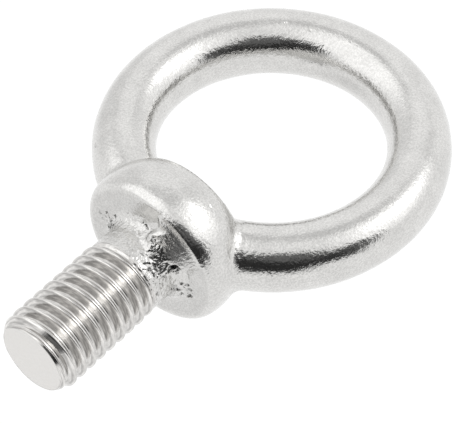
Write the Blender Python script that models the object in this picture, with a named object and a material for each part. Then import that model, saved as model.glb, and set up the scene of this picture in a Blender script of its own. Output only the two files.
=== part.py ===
"""Lifting eye bolt: a ring, a collar and an M10 threaded shank, which are three regions of one casting.

Lengths are written in millimetres and turned into metres where a mesh is made. The origin is the
centre of the collar's seat face, which pulls up against the thing the bolt is screwed into, and +Z
runs up the bolt's axis to the ring. The ring lies in the XZ plane. Neighbouring regions meet on
planes that they share: two planes across the ring's tube, and one across the neck.
"""

import math

import bmesh
import bpy

# Ring
SEAT_TO_RING = 21.0  # from the seat face up to the ring's centre
RING_RADIUS = 16.5  # of the tube's centre line
TUBE_HALF_DEPTH = 3.65  # in the ring's own plane
TUBE_HALF_WIDTH = 4.0  # along the ring's axis
SPLIT_ANGLE = 40.0  # of the ring's end planes, in degrees each side of straight down

# Collar and neck
COLLAR_HEIGHT = 7.15
COLLAR_TOP_RADIUS = 7.9
COLLAR_BULGE_RADIUS = 9.85  # before the bulge is rounded
COLLAR_BULGE_HEIGHT = 2.8
SEAT_RADIUS = 8.95
NECK_RADIUS = 4.75
NECK_LENGTH = 4.0
TOP_ROUND = 0.5
BULGE_ROUND = 7.0
SEAT_EDGE_ROUND = 0.4
NECK_FILLET = 1.25

# Threaded shank
SHANK_LENGTH = 18.2  # from the seat face down to the tip
THREAD_PITCH = 1.5
THREAD_RADIUS = 4.875  # at the crests
THREAD_START = 191.0  # angle at which the helix's lowest turn begins, in degrees
THREAD_DEPTH = 0.6134 * THREAD_PITCH
CREST_WIDTH = 0.125 * THREAD_PITCH
FLANK_LENGTH = THREAD_DEPTH * math.tan(math.radians(30.0))
TIP_RADIUS = 4.1

# Facets
RING_STEPS = 56
TUBE_SIDES = 24
COLLAR_SIDES = 48
THREAD_SIDES = 32
ROUND_STEP = 22.5  # largest turn between two facets of a rounded corner, in degrees

MM = 0.001


def metal(name, colour, roughness):
    """A bare metal surface of one colour."""
    material = bpy.data.materials.new(name)
    material.use_nodes = True
    shader = material.node_tree.nodes["Principled BSDF"]
    shader.inputs["Base Color"].default_value = (*colour, 1.0)
    shader.inputs["Metallic"].default_value = 1.0
    shader.inputs["Roughness"].default_value = roughness
    return material


def solid(name, vertices, faces, material=None):
    """A closed object from corners in millimetres, with its faces turned outwards."""
    shape = bmesh.new()
    corners = [shape.verts.new([value * MM for value in vertex]) for vertex in vertices]
    for face in faces:
        shape.faces.new([corners[index] for index in face])
    bmesh.ops.recalc_face_normals(shape, faces=shape.faces)
    mesh = bpy.data.meshes.new(name)
    shape.to_mesh(mesh)
    shape.free()
    mesh.shade_smooth()
    mesh.set_sharp_from_angle(angle=math.radians(30.0))
    if material:
        mesh.materials.append(material)
    piece = bpy.data.objects.new(name, mesh)
    bpy.context.scene.collection.objects.link(piece)
    return piece


def combine(piece, other, operation):
    """Unite a piece with a guide body, or keep only what it shares with one."""
    other.hide_render = True
    other.display_type = "WIRE"
    step = piece.modifiers.new(operation.lower(), "BOOLEAN")
    step.operation = operation
    step.solver = "EXACT"
    step.object = other


def rounded(corners):
    """The outline through (radius, height, rounding) corners, each rounding made of short facets."""
    points = []
    for index, (radius, height, rounding) in enumerate(corners):
        if not rounding:
            points.append((radius, height))
            continue
        before = corners[index - 1]
        after = corners[index + 1]
        heading_in = math.atan2(height - before[1], radius - before[0])
        heading_out = math.atan2(after[1] - height, after[0] - radius)
        turn = (heading_out - heading_in + math.pi) % (2.0 * math.pi) - math.pi
        reach = rounding * math.tan(abs(turn) / 2.0)
        side = math.copysign(math.pi / 2.0, turn)
        centre_r = radius - reach * math.cos(heading_in) + rounding * math.cos(heading_in + side)
        centre_z = height - reach * math.sin(heading_in) + rounding * math.sin(heading_in + side)
        steps = max(2, math.ceil(abs(turn) / math.radians(ROUND_STEP)))
        for step in range(steps + 1):
            angle = heading_in - side + turn * step / steps
            points.append((centre_r + rounding * math.cos(angle), centre_z + rounding * math.sin(angle)))
    return points


def turned(name, outline, sides, material=None):
    """A solid of revolution about Z, from an outline that starts and ends on the axis."""
    vertices = []
    rows = []
    for radius, height in outline:
        if radius == 0.0:
            rows.append([len(vertices)] * sides)
            vertices.append((0.0, 0.0, height))
            continue
        rows.append(range(len(vertices), len(vertices) + sides))
        for side in range(sides):
            angle = 2.0 * math.pi * side / sides
            vertices.append((radius * math.cos(angle), radius * math.sin(angle), height))
    faces = []
    for lower, upper in zip(rows, rows[1:]):
        for side in range(sides):
            after = (side + 1) % sides
            face = (lower[side], lower[after], upper[after], upper[side])
            faces.append(tuple(dict.fromkeys(face)))
    return solid(name, vertices, faces, material)


def ring_tube(name, start, end, steps, material=None):
    """A stretch of the ring's oval tube, between two angles in degrees from straight down."""
    vertices = []
    for step in range(steps + 1):
        angle = math.radians(start + (end - start) * step / steps)
        for side in range(TUBE_SIDES):
            turn = 2.0 * math.pi * side / TUBE_SIDES
            reach = RING_RADIUS + TUBE_HALF_DEPTH * math.cos(turn)
            x = reach * math.sin(angle)
            y = TUBE_HALF_WIDTH * math.sin(turn)
            z = SEAT_TO_RING - reach * math.cos(angle)
            vertices.append((x, y, z))
    last = steps * TUBE_SIDES
    faces = [tuple(range(TUBE_SIDES)), tuple(range(last, last + TUBE_SIDES))]
    for step in range(steps):
        here = step * TUBE_SIDES
        there = here + TUBE_SIDES
        for side in range(TUBE_SIDES):
            after = (side + 1) % TUBE_SIDES
            faces.append((here + side, here + after, there + after, there + side))
    return solid(name, vertices, faces, material)


def eye_ring(material):
    """The ring, open below where the collar takes over."""
    return ring_tube("eye_ring", SPLIT_ANGLE, 360.0 - SPLIT_ANGLE, RING_STEPS, material)


def collar(material):
    """The barrel-shaped collar with its flat seat, the plain neck below it and the ring's root above."""
    outline = rounded(
        [
            (0.0, COLLAR_HEIGHT, 0.0),
            (COLLAR_TOP_RADIUS, COLLAR_HEIGHT, TOP_ROUND),
            (COLLAR_BULGE_RADIUS, COLLAR_BULGE_HEIGHT, BULGE_ROUND),
            (SEAT_RADIUS, 0.0, SEAT_EDGE_ROUND),
            (NECK_RADIUS, 0.0, NECK_FILLET),
            (NECK_RADIUS, -NECK_LENGTH, 0.0),
            (0.0, -NECK_LENGTH, 0.0),
        ]
    )
    body = turned("collar", outline, COLLAR_SIDES, material)
    steps = round(RING_STEPS * SPLIT_ANGLE / (180.0 - SPLIT_ANGLE))
    root = ring_tube("ring_root_guide", -SPLIT_ANGLE, SPLIT_ANGLE, steps)
    combine(body, root, "UNION")
    return body


def threaded_shank(material):
    """The shank's right-hand thread, cut off square at the neck and chamfered at the tip."""
    root_width = THREAD_PITCH - CREST_WIDTH - 2.0 * FLANK_LENGTH
    root_radius = THREAD_RADIUS - THREAD_DEPTH
    ridge = [
        (root_radius, 0.0),
        (root_radius, root_width),
        (THREAD_RADIUS, root_width + FLANK_LENGTH),
        (THREAD_RADIUS, root_width + FLANK_LENGTH + CREST_WIDTH),
    ]
    points = len(ridge)
    turns = math.ceil((SHANK_LENGTH - NECK_LENGTH) / THREAD_PITCH) + 3
    bottom = -SHANK_LENGTH - 2.0 * THREAD_PITCH
    last = turns * THREAD_SIDES

    # Column k holds one pitch of the ridge. Its last corner is the first one of the column a turn on.
    vertices = []
    for column in range(last + THREAD_SIDES + 1):
        angle = math.radians(THREAD_START) + 2.0 * math.pi * column / THREAD_SIDES
        rise = bottom + THREAD_PITCH * column / THREAD_SIDES
        kept = ridge if column <= last else ridge[:1]
        for radius, height in kept:
            vertices.append((radius * math.cos(angle), radius * math.sin(angle), rise + height))

    def corner(column, point):
        if point == points:
            column += THREAD_SIDES
            point = 0
        if column <= last:
            return column * points + point
        return (last + 1) * points + column - last - 1

    faces = []
    for column in range(last):
        for point in range(points):
            faces.append(
                (
                    corner(column, point),
                    corner(column + 1, point),
                    corner(column + 1, point + 1),
                    corner(column, point + 1),
                )
            )
    for first in (0, last):
        axis_point = len(vertices)
        vertices.append((0.0, 0.0, bottom + THREAD_PITCH * first / THREAD_SIDES))
        for column in range(first, first + THREAD_SIDES):
            faces.append((axis_point, corner(column, 0), corner(column + 1, 0)))
        step = [corner(first, point) for point in range(points + 1)]
        faces.append((axis_point, *step))

    shank = solid("threaded_shank", vertices, faces, material)
    blank_radius = THREAD_RADIUS + 0.2 * THREAD_PITCH
    blank = turned(
        "shank_blank_guide",
        [
            (0.0, -NECK_LENGTH),
            (blank_radius, -NECK_LENGTH),
            (blank_radius, -SHANK_LENGTH + blank_radius - TIP_RADIUS),
            (TIP_RADIUS, -SHANK_LENGTH),
            (0.0, -SHANK_LENGTH),
        ],
        COLLAR_SIDES,
    )
    combine(shank, blank, "INTERSECT")
    return shank


def build():
    """Clear the scene and make the three regions of the casting."""
    for leftover in list(bpy.data.objects):
        bpy.data.objects.remove(leftover)
    eye_ring(metal("cast_ring", (0.62, 0.61, 0.60), 0.28))
    collar(metal("cast_collar", (0.60, 0.59, 0.58), 0.32))
    threaded_shank(metal("cut_thread", (0.66, 0.65, 0.63), 0.24))


build()
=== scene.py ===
import itertools
import math

import bmesh
import bpy
import numpy as np
from mathutils import Matrix, Vector


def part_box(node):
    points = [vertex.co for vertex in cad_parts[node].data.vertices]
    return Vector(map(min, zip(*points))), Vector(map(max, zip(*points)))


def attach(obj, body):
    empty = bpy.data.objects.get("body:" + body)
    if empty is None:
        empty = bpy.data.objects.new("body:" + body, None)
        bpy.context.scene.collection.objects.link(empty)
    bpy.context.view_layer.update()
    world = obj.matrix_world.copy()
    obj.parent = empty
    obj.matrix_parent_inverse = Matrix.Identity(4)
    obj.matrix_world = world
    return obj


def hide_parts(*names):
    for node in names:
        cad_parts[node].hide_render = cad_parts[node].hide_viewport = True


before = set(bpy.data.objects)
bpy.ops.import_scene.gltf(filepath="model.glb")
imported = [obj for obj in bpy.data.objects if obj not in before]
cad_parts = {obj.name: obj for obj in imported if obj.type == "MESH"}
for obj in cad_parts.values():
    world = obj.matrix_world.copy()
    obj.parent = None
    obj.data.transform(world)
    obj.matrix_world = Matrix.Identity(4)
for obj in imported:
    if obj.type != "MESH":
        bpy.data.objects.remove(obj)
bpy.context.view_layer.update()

# The visual model of a cast stainless lifting eye bolt. The casting's surface is one distance field
# in millimetres, in the frame's own axes: the ring's oval tube, the barrel collar and the neck, with
# fillets where they meet and a cast skin pushed in from the true size. Each CAD node is replaced by a
# closed mesh of its own region of that surface.

MM = 0.001


def measured(node):
    """Lowest and highest corner of a CAD node, in millimetres."""
    low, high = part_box(node)
    return low / MM, high / MM


RING_HIGH = measured("eye_ring")[1]
COLLAR_HIGH = measured("collar")[1]
SHANK_LOW, SHANK_HIGH = measured("threaded_shank")

# Ring
TUBE_HALF_WIDTH = RING_HIGH.y  # along the ring's axis
TUBE_HALF_DEPTH = 0.9125 * TUBE_HALF_WIDTH  # in the ring's own plane
RING_RADIUS = RING_HIGH.x - TUBE_HALF_DEPTH  # of the tube's centre line
SEAT_TO_RING = RING_HIGH.z - RING_HIGH.x
SPLIT_ANGLE = math.radians(40.0)  # of the ring's end planes, each side of straight down
RING_FILLET = 1.0

# Collar and neck. A sector is four angles round the bolt in degrees: from the first to the second
# a feature grows to its full size, and from the third to the fourth it fades again.
SKIN_DEPTH = 0.05  # mean depth of the smooth skin inside the true size
COLLAR_HEIGHT = 7.15
BULGE_INSET = 2.0  # radius of the circle on which the barrel's round side is centred
BULGE_HEIGHT = 2.6
BULGE_ROUND = COLLAR_HIGH.y + 0.9 * SKIN_DEPTH - BULGE_INSET
TOP_ROUND = 0.5
SEAT_ROUND = 1.6
CRISP_EDGE = 0.12  # rounding of the seat's rim where the casting kept its edge
WORN_EDGE = 0.3  # and elsewhere
CRISP_SECTOR = (-105.0, -80.0, -25.0, -14.0)
BARREL_DROP = 0.30  # how far the barrel would reach below the seat if it weren't cut flat
BARREL_TILT = 0.025  # the barrel's lower rim drops this much per millimetre out from the axis
BARREL_TILT_ANGLE = math.radians(-40.0)  # towards this side
NECK_RADIUS = 4.75
NECK_LENGTH = -SHANK_HIGH.z
NECK_FILLET = 1.8
WEDGE_RADIUS = 8.5  # where the metal left on the seat thins out to nothing
WEDGE_TILT = math.radians(30.0)
WEDGE_SECTOR = (-94.0, -67.0, -27.0, -19.0)
WEDGE_WOBBLE = 12.0  # unevenness of the sector's first side, in degrees

# Flaws in the skin round the neck: angle in degrees, height, radius and reach
TORN = (-45.0, -2.0, 5.2, 5.0)
BLOW_HOLE = (-27.5, -1.4, 5.8, 0.9)
CLUSTER = (18.0, -0.6, 5.5, 1.7)
FRECKLES = (-160.0, -0.1, 5.8, 2.3)
PIT_START = 0.15  # skin deeper than this starts to darken as a pit, with painted shade
PIT_SPAN = 0.14  # and is fully dark with painted shade this much deeper

# Threaded shank
SHANK_LENGTH = -SHANK_LOW.z
PITCH = 1.5
THREAD_RADIUS = SHANK_HIGH.x
THREAD_DEPTH = 0.6134 * PITCH
CREST_HALF_WIDTH = 0.0625 * PITCH
CREST_ROUND = 0.04
ROOT_ROUND = 0.12
FLANK_SLOPE = 1.0 / math.tan(math.radians(30.0))
TIP_RADIUS = 4.1
TIP_TAPER = 0.6  # growth of the radius for each millimetre up from the tip
TIP_ROUND = 0.15
THREAD_PHASE = 0.58  # turns the helix to where the photo has it
RUN_OUT = 0.9  # length over which the thread fades into the neck

# Mesh fineness
COARSER = 1
RING_STEPS = 560 // COARSER
TUBE_STEPS = 176 // COARSER
COLLAR_CELL = 0.12 * 1.0
THREAD_SIDES = 230
THREAD_ROWS = 400
TIP_RINGS = 12
FIELD_STEP = 0.01  # for slopes of the true size
SKIN_STEP = 0.03  # for slopes of the surface with its skin


# ---------------------------------------------------------------- noise

def lattice_hash(cells, seed):
    """A scrambled 32-bit number for each whole-number cell."""
    x, y, z = (cells[..., axis].astype(np.uint32) for axis in range(3))
    key = x * np.uint32(374761393) + y * np.uint32(668265263) + z * np.uint32(2246822519)
    key = key + np.array([seed], np.uint32) * np.uint32(3266489917)
    key = (key ^ (key >> np.uint32(13))) * np.uint32(1274126177)
    key = (key ^ (key >> np.uint32(16))) * np.uint32(2654435761)
    return key ^ (key >> np.uint32(15))


def noise(points, size, seed):
    """Smooth gradient noise from about -1 to 1, with features of the given size."""
    scaled = points / size
    cells = np.floor(scaled).astype(np.int64)
    inside = scaled - cells
    fade = inside ** 3 * (inside * (inside * 6.0 - 15.0) + 10.0)
    total = np.zeros(points.shape[:-1])
    for corner in itertools.product((0, 1), repeat=3):
        key = lattice_hash(cells + corner, seed)
        lean = np.stack([(key >> np.uint32(shift)) & np.uint32(255) for shift in (0, 8, 16)], -1)
        lean = lean / 127.5 - 1.0
        reach = (lean * (inside - corner)).sum(-1)
        weight = np.where(corner, fade, 1.0 - fade).prod(-1)
        total += weight * reach
    return total * 1.4


def smooth_step(low, high, value):
    """0 below low, 1 above high, and an even slope between."""
    share = np.clip((value - low) / (high - low), 0.0, 1.0)
    return share * share * (3.0 - 2.0 * share)


# ---------------------------------------------------------------- the casting's shape

def soft_min(a, b, reach):
    """The lower of two distances, with a fillet of about the given size where they meet."""
    overlap = np.maximum(reach - np.abs(a - b), 0.0) / reach
    return np.minimum(a, b) - overlap * overlap * reach * 0.25


def soft_max(a, b, reach):
    """The higher of two distances, rounded off where they meet."""
    return -soft_min(-a, -b, reach)


def ring_distance(points):
    """Distance to the ring's oval tube."""
    x, y, z = np.moveaxis(points, -1, 0)
    depth = np.hypot(x, z - SEAT_TO_RING) - RING_RADIUS
    near = np.hypot(depth / TUBE_HALF_DEPTH, y / TUBE_HALF_WIDTH)
    slope = np.hypot(depth / TUBE_HALF_DEPTH ** 2, y / TUBE_HALF_WIDTH ** 2)
    return near * (near - 1.0) / np.maximum(slope, 1e-9)


def in_sector(points, sector, wobble=0.0):
    """1 between the middle two of four angles round the bolt, fading to 0 at the outer two. A wobble
    in degrees makes the first side uneven."""
    angle = np.degrees(np.arctan2(points[..., 1], points[..., 0]))
    start, full, fading, end = sector
    fade_out = smooth_step(end, fading, angle)
    if wobble:
        angle = angle + wobble * noise(points, 1.8, 33)
    return smooth_step(start, full, angle) * fade_out


def collar_distance(points):
    """Distance to the barrel collar, with its flat top and its flat seat."""
    x, y, z = np.moveaxis(points, -1, 0)
    out = np.maximum(np.hypot(x, y) - BULGE_INSET, 0.0)
    side = np.hypot(out, z - BULGE_HEIGHT) - BULGE_ROUND
    lean = BARREL_TILT * (x * math.cos(BARREL_TILT_ANGLE) + y * math.sin(BARREL_TILT_ANGLE))
    barrel = soft_max(side, z - COLLAR_HEIGHT, TOP_ROUND)
    barrel = soft_max(barrel, -z - BARREL_DROP - lean, SEAT_ROUND)
    edge = WORN_EDGE + (CRISP_EDGE - WORN_EDGE) * in_sector(points, CRISP_SECTOR)
    return soft_max(barrel, -z, edge)


def neck_distance(points):
    """Distance to the plain neck, which starts inside the collar and has no lower end."""
    x, y, z = np.moveaxis(points, -1, 0)
    return np.maximum(np.hypot(x, y) - NECK_RADIUS, z - COLLAR_HEIGHT / 2.0)


def wedge_distance(points):
    """A shallow cone left on one side of the seat, from the rim down to the neck."""
    x, y, z = np.moveaxis(points, -1, 0)
    radius = np.hypot(x, y)
    cone = -z * math.cos(WEDGE_TILT) - (WEDGE_RADIUS - radius) * math.sin(WEDGE_TILT)
    cone = cone + 2.5 * (1.0 - in_sector(points, WEDGE_SECTOR, WEDGE_WOBBLE))
    return np.maximum(np.maximum(cone, radius - WEDGE_RADIUS), z - 2.0)


def casting_distance(points):
    """Distance to the true-size casting, without its skin."""
    below = soft_min(collar_distance(points), wedge_distance(points), 0.4)
    below = soft_min(below, neck_distance(points), NECK_FILLET)
    return soft_min(below, ring_distance(points), RING_FILLET)


def rough_share(points):
    """Where the as-cast skin was left: round the neck, on the inner seat, a little at the ring's
    roots."""
    x, y, z = np.moveaxis(points, -1, 0)
    radius = np.hypot(x, y) + 0.9 * noise(points, 2.2, 31)
    neck = smooth_step(0.9, 0.2, z) * smooth_step(6.7, 5.3, radius)
    corner = np.abs(collar_distance(points) - ring_distance(points)) + 0.5 * noise(points, 1.5, 32)
    roots = 0.55 * smooth_step(1.2, 0.4, corner) * smooth_step(2.0, 3.0, z)
    return np.maximum(neck, roots)


def near(points, flaw):
    """1 at the middle of a flaw, fading to 0 at its reach."""
    degrees, height, radius, reach = flaw
    angle = math.radians(degrees)
    place = np.array((radius * math.cos(angle), radius * math.sin(angle), height))
    return smooth_step(reach, reach * 0.4, np.linalg.norm(points - place, axis=-1))


def skin(points):
    """How far the cast skin lies inside the true size, in millimetres, 0 or less. Each part of it is
    an amount times noise of some feature size and seed. Noise plus an offset, cut off at 0, leaves
    pits where the noise dips furthest and nothing elsewhere."""
    waves = 0.030 * noise(points, 6.0, 1) + 0.014 * noise(points, 2.4, 2)
    peel = 0.006 * noise(points, 0.8, 3) + 0.006 * noise(points, 0.42, 4)
    rough = rough_share(points) ** 2
    torn = 0.65 + 0.35 * near(points, TORN)
    lumps = torn * (0.060 * noise(points, 0.55, 6) + 0.045 * noise(points, 0.34, 7))
    holes = np.minimum(noise(points, 0.55, 8) + 0.5, 0.0) * 0.5
    blow_hole = near(points, BLOW_HOLE) * np.maximum(0.5 + 0.8 * noise(points, 0.5, 9), 0.0)
    cluster = near(points, CLUSTER) * np.minimum(noise(points, 0.5, 10) + 0.1, 0.0)
    freckles = near(points, FRECKLES) * np.minimum(noise(points, 0.42, 13) + 0.2, 0.0)
    nicks = 0.4 * np.minimum(noise(points, 0.8, 14) + 0.72, 0.0)
    pitted = nicks + rough * (lumps + holes - 0.06) + cluster + 0.6 * freckles - blow_hole
    return np.minimum(waves + peel - SKIN_DEPTH + pitted, 0.0)


def casting_field(points):
    """Distance to the casting with its skin."""
    return casting_distance(points) - skin(points)


def slopes(field, points, step):
    """A field's slope along each axis, by central differences."""
    parts = []
    for axis in np.eye(3) * step:
        parts.append((field(points + axis) - field(points - axis)) / (2.0 * step))
    return np.stack(parts, -1)


def gradient(field, points, step):
    """Unit direction in which a field grows."""
    slope = slopes(field, points, step)
    return slope / np.maximum(np.linalg.norm(slope, axis=-1, keepdims=True), 1e-9)


def settle(points, rounds=4):
    """Move points onto the true-size casting along its slope."""
    for _ in range(rounds):
        slope = slopes(casting_distance, points, FIELD_STEP)
        steepness = np.maximum((slope ** 2).sum(-1), 0.5)
        points = points - slope * (casting_distance(points) / steepness)[..., None]
    return points


# ---------------------------------------------------------------- meshes

def closed_mesh(name, vertices, faces, normals=None, **layers):
    """A mesh in metres from corners in millimetres, with named values at its corners for the material.
    Flat caps, of more than four corners, keep their own normals."""
    mesh = bpy.data.meshes.new(name)
    mesh.from_pydata((vertices * MM).tolist(), [], faces)
    mesh.shade_smooth()
    if normals is not None:
        corner_vertex = np.empty(len(mesh.loops), np.int32)
        mesh.loops.foreach_get("vertex_index", corner_vertex)
        wanted = normals[corner_vertex]
        counts = np.empty(len(mesh.polygons), np.int32)
        mesh.polygons.foreach_get("loop_total", counts)
        face_normals = np.empty(len(mesh.polygons) * 3, np.float32)
        mesh.polygons.foreach_get("normal", face_normals)
        cap = np.repeat(counts > 4, counts)
        flat = np.repeat(face_normals.reshape(-1, 3), counts, axis=0)
        wanted = np.where(cap[:, None], flat, wanted)
        mesh.normals_split_custom_set(wanted.tolist())
    for layer, values in layers.items():
        attribute = mesh.attributes.new(layer, "FLOAT", "POINT")
        attribute.data.foreach_set("value", values.astype(np.float32))
    mesh.validate()
    piece = bpy.data.objects.new(name, mesh)
    bpy.context.scene.collection.objects.link(piece)
    return piece


def ring_piece():
    """The ring from one split plane round to the other, as a fine grid on the skin."""
    along = np.linspace(SPLIT_ANGLE, 2.0 * math.pi - SPLIT_ANGLE, RING_STEPS + 1)
    around = np.linspace(0.0, 2.0 * math.pi, TUBE_STEPS, endpoint=False)
    angle, turn = np.meshgrid(along, around, indexing="ij")
    reach = RING_RADIUS + TUBE_HALF_DEPTH * np.cos(turn)
    points = np.stack([
        reach * np.sin(angle),
        TUBE_HALF_WIDTH * np.sin(turn),
        SEAT_TO_RING - reach * np.cos(angle),
    ], -1).reshape(-1, 3)
    outward = gradient(ring_distance, points, FIELD_STEP)
    points = points + outward * skin(points)[:, None]
    normals = gradient(casting_field, points, SKIN_STEP)
    faces = []
    for step in range(RING_STEPS):
        here = step * TUBE_STEPS
        there = here + TUBE_STEPS
        for side in range(TUBE_STEPS):
            after = (side + 1) % TUBE_STEPS
            faces.append((here + side, here + after, there + after, there + side))
    last = RING_STEPS * TUBE_STEPS
    faces.append(tuple(range(TUBE_STEPS - 1, -1, -1)))
    faces.append(tuple(range(last, last + TUBE_STEPS)))
    return closed_mesh("ring", points, faces, normals)


def surface_net(field, low, high, cell):
    """A closed quad mesh near a field's zero surface: one corner in each grid cell it passes through."""
    axes = [np.arange(a, b + cell, cell) for a, b in zip(low, high)]
    inside = np.empty([len(axis) for axis in axes], bool)
    for index, x in enumerate(axes[0]):
        y, z = np.meshgrid(axes[1], axes[2], indexing="ij")
        inside[index] = field(np.stack([np.full_like(y, x), y, z], -1)) < 0.0
    corners = [inside[i:i - 1 or None, j:j - 1 or None, k:k - 1 or None]
               for i, j, k in itertools.product((0, 1), repeat=3)]
    count = sum(corner.astype(np.int8) for corner in corners)
    crossed = (count > 0) & (count < 8)
    number = np.full(crossed.shape, -1, np.int64)
    number[crossed] = np.arange(crossed.sum())
    places = np.argwhere(crossed)
    vertices = np.array([axis[0] for axis in axes]) + (places + 0.5) * cell
    faces = []
    for axis in range(3):
        first, second = (axis + 1) % 3, (axis + 2) % 3
        here = np.moveaxis(inside, axis, 0)
        changes = np.argwhere(here[1:] != here[:-1])
        at = np.empty_like(changes)
        at[:, axis] = changes[:, 0]
        others = [other for other in range(3) if other != axis]
        at[:, others[0]] = changes[:, 1]
        at[:, others[1]] = changes[:, 2]
        room = np.array(crossed.shape)
        whole = (at[:, first] > 0) & (at[:, first] < room[first])
        whole &= (at[:, second] > 0) & (at[:, second] < room[second])
        at = at[whole]
        steps = np.zeros((4, 3), np.int64)
        steps[1, first] = -1
        steps[2, first] = steps[2, second] = -1
        steps[3, second] = -1
        quad = np.stack([number[tuple((at + step).T)] for step in steps], 1)
        leaving = inside[tuple(at.T)]
        quad[~leaving] = quad[~leaving][:, ::-1]
        faces.append(quad)
    return vertices, np.concatenate(faces)


def relax(vertices, faces, rounds):
    """Even out a mesh's corners, keeping them on the true-size casting."""
    ends = np.concatenate([faces[:, [i, (i + 1) % 4]] for i in range(4)])
    ends = np.concatenate([ends, ends[:, ::-1]])
    for _ in range(rounds):
        total = np.zeros_like(vertices)
        np.add.at(total, ends[:, 0], vertices[ends[:, 1]])
        count = np.bincount(ends[:, 0], minlength=len(vertices))
        vertices = settle(0.5 * vertices + 0.5 * total / count[:, None], 2)
    return vertices


def collar_piece():
    """The collar, neck and ring roots, cut off flat at the planes shared with their neighbours."""
    reach = (RING_RADIUS + TUBE_HALF_DEPTH) * math.sin(SPLIT_ANGLE) + 1.0
    side = BULGE_INSET + BULGE_ROUND + 0.5
    top = SEAT_TO_RING - (RING_RADIUS - TUBE_HALF_DEPTH) * math.cos(SPLIT_ANGLE) + 1.0
    low = (-reach, -side, -NECK_LENGTH - 0.5)
    vertices, faces = surface_net(casting_distance, low, (reach, side, top), COLLAR_CELL)
    vertices = relax(settle(vertices), faces, 3)
    outward = gradient(casting_distance, vertices, FIELD_STEP)
    vertices = vertices + outward * skin(vertices)[:, None]

    shape = bmesh.new()
    corners = [shape.verts.new(vertex) for vertex in vertices.tolist()]
    for face in faces.tolist():
        shape.faces.new([corners[index] for index in face])
    cuts = [((0.0, 0.0, -NECK_LENGTH), (0.0, 0.0, -1.0))]
    for hand in (-1.0, 1.0):
        outward = (hand * math.cos(SPLIT_ANGLE), 0.0, math.sin(SPLIT_ANGLE))
        cuts.append(((0.0, 0.0, SEAT_TO_RING), outward))
    for place, direction in cuts:
        everything = shape.verts[:] + shape.edges[:] + shape.faces[:]
        bmesh.ops.bisect_plane(
            shape, geom=everything, plane_co=place, plane_no=direction, clear_outer=True
        )
        open_edges = [edge for edge in shape.edges if edge.is_boundary]
        bmesh.ops.contextual_create(shape, geom=open_edges)
    mesh = bpy.data.meshes.new("scratch")
    shape.to_mesh(mesh)
    shape.free()
    points = np.empty(len(mesh.vertices) * 3, np.float32)
    mesh.vertices.foreach_get("co", points)
    points = points.reshape(-1, 3).astype(np.float64)
    polygons = [tuple(polygon.vertices) for polygon in mesh.polygons]
    bpy.data.meshes.remove(mesh)
    normals = gradient(casting_field, points, SKIN_STEP)
    # How deep the skin is pitted: it paints shade into the pits' colour and makes them rougher.
    pit = np.clip((-skin(points) - PIT_START) / PIT_SPAN, 0.0, 1.0)
    rough = rough_share(points)
    return closed_mesh("collar_and_neck", points, polygons, normals, as_cast=rough, pit=pit)


def thread_radius(angle, height):
    """The shank's radius at an angle and height: an ISO thread that fades out towards the neck."""
    turn = angle / (2.0 * math.pi)
    along = ((height / PITCH - turn + THREAD_PHASE) % 1.0 - 0.5) * PITCH
    flank = (np.abs(along) - CREST_HALF_WIDTH) * FLANK_SLOPE
    cut = soft_min(soft_max(flank, 0.0, CREST_ROUND), THREAD_DEPTH, ROOT_ROUND)
    fade = smooth_step(-NECK_LENGTH - 0.1, -NECK_LENGTH - RUN_OUT, height)
    points = np.stack([THREAD_RADIUS * np.cos(angle), THREAD_RADIUS * np.sin(angle), height], -1)
    neck = NECK_RADIUS + skin(points)
    wear = 0.014 * noise(points, 1.6, 11) + 0.007 * noise(points, 0.5, 12) - 0.02
    threaded = THREAD_RADIUS - cut + wear
    radius = neck * (1.0 - fade) + threaded * fade
    chamfer = TIP_RADIUS + TIP_TAPER * (height + SHANK_LENGTH)
    return soft_min(radius, chamfer, TIP_ROUND)


def thread_piece():
    """The threaded shank as a fine grid round the axis, closed by its tip and by the shared plane."""
    heights = np.linspace(-SHANK_LENGTH, -NECK_LENGTH, THREAD_ROWS + 1)
    angles = np.linspace(0.0, 2.0 * math.pi, THREAD_SIDES, endpoint=False)
    height, angle = np.meshgrid(heights, angles, indexing="ij")
    radius = thread_radius(angle, height)
    wall = np.stack([radius * np.cos(angle), radius * np.sin(angle), height], -1).reshape(-1, 3)
    faces = []
    for row in range(THREAD_ROWS):
        here = row * THREAD_SIDES
        above = here + THREAD_SIDES
        for side in range(THREAD_SIDES):
            after = (side + 1) % THREAD_SIDES
            faces.append((here + side, here + after, above + after, above + side))
    rim_radius = radius[0]
    vertices = [wall]
    shares = np.linspace(0.96, 0.08, TIP_RINGS)
    below = 0
    total = len(wall)
    for share in shares:
        ring = np.stack([
            rim_radius * share * np.cos(angles),
            rim_radius * share * np.sin(angles),
            np.full_like(angles, -SHANK_LENGTH),
        ], -1)
        vertices.append(ring)
        for side in range(THREAD_SIDES):
            after = (side + 1) % THREAD_SIDES
            faces.append((below + after, below + side, total + side, total + after))
        below = total
        total += THREAD_SIDES
    faces.append(tuple(range(below + THREAD_SIDES - 1, below - 1, -1)))
    top = THREAD_ROWS * THREAD_SIDES
    faces.append(tuple(range(top, top + THREAD_SIDES)))
    vertices = np.concatenate(vertices)
    tip = (np.arange(len(vertices)) >= len(wall)).astype(float)
    piece = closed_mesh("thread", vertices, faces, tip=tip)
    piece.data.set_sharp_from_angle(angle=math.radians(50.0))
    return piece


# ---------------------------------------------------------------- materials

def new_material(name):
    """A node material, with its tree and its shader."""
    material = bpy.data.materials.new(name)
    material.use_nodes = True
    tree = material.node_tree
    return material, tree, tree.nodes["Principled BSDF"]


def add(tree, kind, **settings):
    """A node with its settings, where a socket's name sets that socket."""
    node = tree.nodes.new(kind)
    for key, value in settings.items():
        if key in node.inputs:
            node.inputs[key].default_value = value
        else:
            setattr(node, key, value)
    return node


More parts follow.
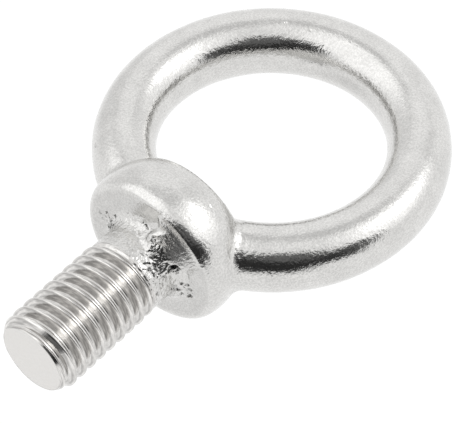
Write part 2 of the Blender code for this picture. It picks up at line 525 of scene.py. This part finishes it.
def spread(tree, value, low, high, start=0.35, end=0.65):
    """A texture's value between start and end, spread over low to high."""
    node = add(tree, "ShaderNodeMapRange")
    node.inputs["From Min"].default_value = start
    node.inputs["From Max"].default_value = end
    node.inputs["To Min"].default_value = low
    node.inputs["To Max"].default_value = high
    tree.links.new(value, node.inputs["Value"])
    return node.outputs["Result"]


def maths(tree, operation, *values):
    """A Math node of sockets and numbers."""
    node = add(tree, "ShaderNodeMath", operation=operation)
    for socket, value in zip(node.inputs, values):
        if isinstance(value, float):
            socket.default_value = value
        else:
            tree.links.new(value, socket)
    return node.outputs[0]


def layer(tree, name):
    """A value stored at the mesh's corners."""
    node = add(tree, "ShaderNodeAttribute", attribute_name=name)
    return node.outputs["Fac"]


def bumped(tree, shader, heights):
    """Chain bumps of (height, strength, depth in metres) into a shader's normal."""
    normal = None
    for height, strength, depth in heights:
        bump = add(tree, "ShaderNodeBump")
        bump.inputs["Distance"].default_value = depth
        if isinstance(strength, float):
            bump.inputs["Strength"].default_value = strength
        else:
            tree.links.new(strength, bump.inputs["Strength"])
        tree.links.new(height, bump.inputs["Height"])
        if normal:
            tree.links.new(normal, bump.inputs["Normal"])
        normal = bump.outputs["Normal"]
    tree.links.new(normal, shader.inputs["Normal"])


def tinted(tree, shader, base, tone):
    """The base colour times a tone."""
    colour = add(tree, "ShaderNodeVectorMath", operation="SCALE")
    colour.inputs[0].default_value = base
    tree.links.new(tone, colour.inputs["Scale"])
    tree.links.new(colour.outputs["Vector"], shader.inputs["Base Color"])


def texture(tree, place, scale, detail, roughness=0.6):
    """A noise texture's value at a place."""
    node = add(tree, "ShaderNodeTexNoise", Scale=scale, Detail=detail, Roughness=roughness)
    tree.links.new(place, node.inputs["Vector"])
    return node.outputs["Fac"]


def cast_steel(name, as_cast):
    """Tumbled cast stainless steel with an orange-peel grain; if asked, rough in the pits, with painted
    shade darkening them.
    """
    material, tree, shader = new_material(name)
    shader.inputs["Metallic"].default_value = 1.0
    place = add(tree, "ShaderNodeTexCoord").outputs["Object"]
    grain = texture(tree, place, 3600.0, 2.0)
    speckle = texture(tree, place, 4600.0, 1.0)
    cloud = texture(tree, place, 420.0, 4.0)
    tone = maths(tree, "MULTIPLY", spread(tree, cloud, 0.95, 1.05), spread(tree, speckle, 0.89, 1.07))
    shine = spread(tree, cloud, 0.10, 0.16)
    heights = [(grain, 0.62, 0.00005)]
    if as_cast:
        rough = layer(tree, "as_cast")
        pit = layer(tree, "pit")
        scale = texture(tree, place, 4200.0, 1.0)
        # Painted shade: the base colour darkens with the pits' depth, to 0.12 of its tone at the deepest.
        tone = maths(tree, "MULTIPLY", tone, spread(tree, pit, 1.0, 0.12, 0.0, 1.0))
        shine = maths(tree, "MAXIMUM", shine, spread(tree, pit, 0.0, 0.6, 0.0, 1.0))
        heights.append((scale, rough, 0.00006))
    tinted(tree, shader, (0.665, 0.659, 0.645), tone)
    tree.links.new(shine, shader.inputs["Roughness"])
    bumped(tree, shader, heights)
    return material


def cut_steel(name):
    """Turned stainless thread: the tool's fine lines follow the helix. The cut-off tip is pale and matt."""
    material, tree, shader = new_material(name)
    shader.inputs["Metallic"].default_value = 1.0
    place = add(tree, "ShaderNodeTexCoord").outputs["Object"]
    axes = add(tree, "ShaderNodeSeparateXYZ")
    tree.links.new(place, axes.inputs[0])
    angle = maths(tree, "ARCTAN2", axes.outputs["Y"], axes.outputs["X"])
    turn = maths(tree, "DIVIDE", angle, 2.0 * math.pi)
    pitches = maths(tree, "DIVIDE", axes.outputs["Z"], PITCH * MM)
    rise = maths(tree, "SUBTRACT", pitches, turn)
    across = maths(tree, "FRACT", maths(tree, "ADD", rise, THREAD_PHASE))
    along = add(tree, "ShaderNodeCombineXYZ")
    tree.links.new(maths(tree, "MULTIPLY", across, 9.0), along.inputs["X"])
    tree.links.new(maths(tree, "MULTIPLY", axes.outputs["X"], 400.0), along.inputs["Y"])
    tree.links.new(maths(tree, "MULTIPLY", axes.outputs["Y"], 400.0), along.inputs["Z"])
    tool_lines = texture(tree, along.outputs["Vector"], 1.0, 2.0)
    grain = texture(tree, place, 4200.0, 2.0)
    cloud = texture(tree, place, 700.0, 3.0)
    tip = layer(tree, "tip")
    streaks = spread(tree, tool_lines, 0.67, 1.30)
    tone = maths(tree, "MULTIPLY", streaks, spread(tree, cloud, 0.94, 1.06))
    on_tip = spread(tree, grain, 1.36, 1.41)
    mix = add(tree, "ShaderNodeMix", data_type="FLOAT")
    tree.links.new(tip, mix.inputs["Factor"])
    tree.links.new(tone, mix.inputs["A"])
    tree.links.new(on_tip, mix.inputs["B"])
    tinted(tree, shader, (0.62, 0.608, 0.592), mix.outputs["Result"])
    tree.links.new(spread(tree, tip, 0.13, 0.32, 0.0, 1.0), shader.inputs["Roughness"])
    off_tip = spread(tree, tip, 0.7, 0.05, 0.0, 1.0)
    bumped(tree, shader, [(tool_lines, off_tip, 0.000012), (grain, 0.4, 0.00002)])
    return material


# ---------------------------------------------------------------- studio

VIEW_RIGHT = Vector((0.766, 0.0085, 0.6429)).normalized()
VIEW_BACK = Vector((0.4282, -0.7526, -0.5002)).normalized()
VIEW_UP = VIEW_BACK.cross(VIEW_RIGHT)
EYE = Vector((111.6, -191.3, -116.85)) * MM
SENSOR_WIDTH = 36.0
LENS = 183.3
STUDIO_LEVEL = 1.05  # strength of the light away from every patch


def studio_direction(azimuth, elevation):
    """A direction seen from the bolt, as angles from the camera: azimuth to its right, elevation up."""
    across = math.radians(azimuth)
    rise = math.radians(elevation)
    flat = VIEW_RIGHT * math.sin(across) + VIEW_BACK * math.cos(across)
    return (flat * math.cos(rise) + VIEW_UP * math.sin(rise)).normalized()


def make_camera():
    """The camera at the photo's place, angle and focal length, fitted to the bolt's outline."""
    data = bpy.data.cameras.new("camera")
    data.sensor_width = SENSOR_WIDTH
    data.lens = LENS
    data.clip_start = 0.01
    data.clip_end = 20.0
    camera = bpy.data.objects.new("camera", data)
    axes = Matrix((VIEW_RIGHT, VIEW_UP, VIEW_BACK)).transposed()
    camera.matrix_world = Matrix.Translation(EYE) @ axes.to_4x4()
    bpy.context.scene.collection.objects.link(camera)
    bpy.context.scene.camera = camera


def lobe(tree, direction, inner, outer):
    """1 within the inner angle of a direction, 0 beyond the outer one, in degrees."""
    place = add(tree, "ShaderNodeTexCoord")
    dot = add(tree, "ShaderNodeVectorMath", operation="DOT_PRODUCT")
    dot.inputs[1].default_value = direction
    tree.links.new(place.outputs["Generated"], dot.inputs[0])
    edge = add(tree, "ShaderNodeMapRange", interpolation_type="SMOOTHSTEP")
    edge.inputs["From Min"].default_value = math.cos(math.radians(outer))
    edge.inputs["From Max"].default_value = math.cos(math.radians(inner))
    tree.links.new(dot.outputs["Value"], edge.inputs["Value"])
    return edge.outputs["Result"]


def make_world():
    """An even pale studio, with two softboxes, dimmer strips and a dark room below the camera."""
    world = bpy.data.worlds.new("studio")
    bpy.context.scene.world = world
    world.use_nodes = True
    tree = world.node_tree
    background = tree.nodes["Background"]
    background.inputs["Color"].default_value = (1.0, 1.0, 1.0, 1.0)
    lights = [
        # Each is a direction, an inner and an outer angle, and a strength. Pale strips over the
        # bolt and behind it:
        (studio_direction(-130.0, 40.0), 5.0, 30.0, 0.92),
        (studio_direction(0.0, 90.0), 10.0, 30.0, 1.10),
        (studio_direction(-35.0, 63.0), 5.0, 16.0, 0.80),
        (studio_direction(15.0, 57.0), 4.0, 20.0, 0.78),
        (studio_direction(76.0, 55.0), 3.0, 16.0, 0.93),
        (studio_direction(-92.0, 60.0), 3.0, 15.0, 0.92),
        (studio_direction(-125.0, -34.0), 8.0, 26.0, 0.92),
        # The right softbox with its bright middle, and the left softbox:
        (studio_direction(55.0, 24.0), 8.0, 36.0, 1.5),
        (studio_direction(56.0, 30.0), 2.0, 15.0, 4.0),
        (studio_direction(-52.0, 24.0), 24.0, 42.0, 1.45),
        # The dark room below the camera:
        (studio_direction(4.0, -25.0), 24.0, 32.0, 0.15),
        (studio_direction(44.0, -20.0), 12.0, 21.0, 0.12),
        (studio_direction(-26.0, -20.0), 12.0, 20.0, 0.07),
        (studio_direction(10.0, -42.0), 12.0, 22.0, 0.03),
        (studio_direction(34.0, -28.0), 9.0, 16.0, 0.04),
        (studio_direction(-20.0, -38.0), 14.0, 24.0, 0.03),
        (studio_direction(-44.0, -40.0), 10.0, 24.0, 0.05),
        (studio_direction(-58.0, -46.0), 6.0, 15.0, 0.17),
    ]
    level = add(tree, "ShaderNodeValue")
    level.outputs[0].default_value = STUDIO_LEVEL
    current = level.outputs[0]
    for direction, inner, outer, strength in lights:
        mix = add(tree, "ShaderNodeMix", data_type="FLOAT")
        tree.links.new(lobe(tree, direction, inner, outer), mix.inputs["Factor"])
        tree.links.new(current, mix.inputs["A"])
        mix.inputs["B"].default_value = strength
        current = mix.outputs["Result"]
    tree.links.new(current, background.inputs["Strength"])


def make_floor():
    """A plain pale floor, which the steel doesn't mirror. It lies below the camera, which looks up
    at the seat."""
    half = 3.0
    height = -0.17
    mesh = bpy.data.meshes.new("floor")
    corners = [(x, y, height) for x, y in ((-half, -half), (half, -half), (half, half), (-half, half))]
    mesh.from_pydata(corners, [], [(0, 1, 2, 3)])
    floor = bpy.data.objects.new("floor", mesh)
    material, tree, shader = new_material("pale_floor")
    shader.inputs["Base Color"].default_value = (0.9, 0.9, 0.9, 1.0)
    shader.inputs["Roughness"].default_value = 0.9
    mesh.materials.append(material)
    bpy.context.scene.collection.objects.link(floor)
    floor.visible_glossy = False


def main():
    """The studio, and one mesh for each CAD node."""
    bpy.context.scene.view_settings.view_transform = "Standard"
    make_camera()
    make_world()
    make_floor()
    for piece, node, slot, material in (
        (ring_piece(), "eye_ring", "cast_ring", cast_steel("ring_steel", False)),
        (collar_piece(), "collar", "cast_collar", cast_steel("collar_steel", True)),
        (thread_piece(), "threaded_shank", "cut_thread", cut_steel("thread_steel")),
    ):
        piece.data.materials.append(material)
        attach(piece, "root")
        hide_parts(node)


main()
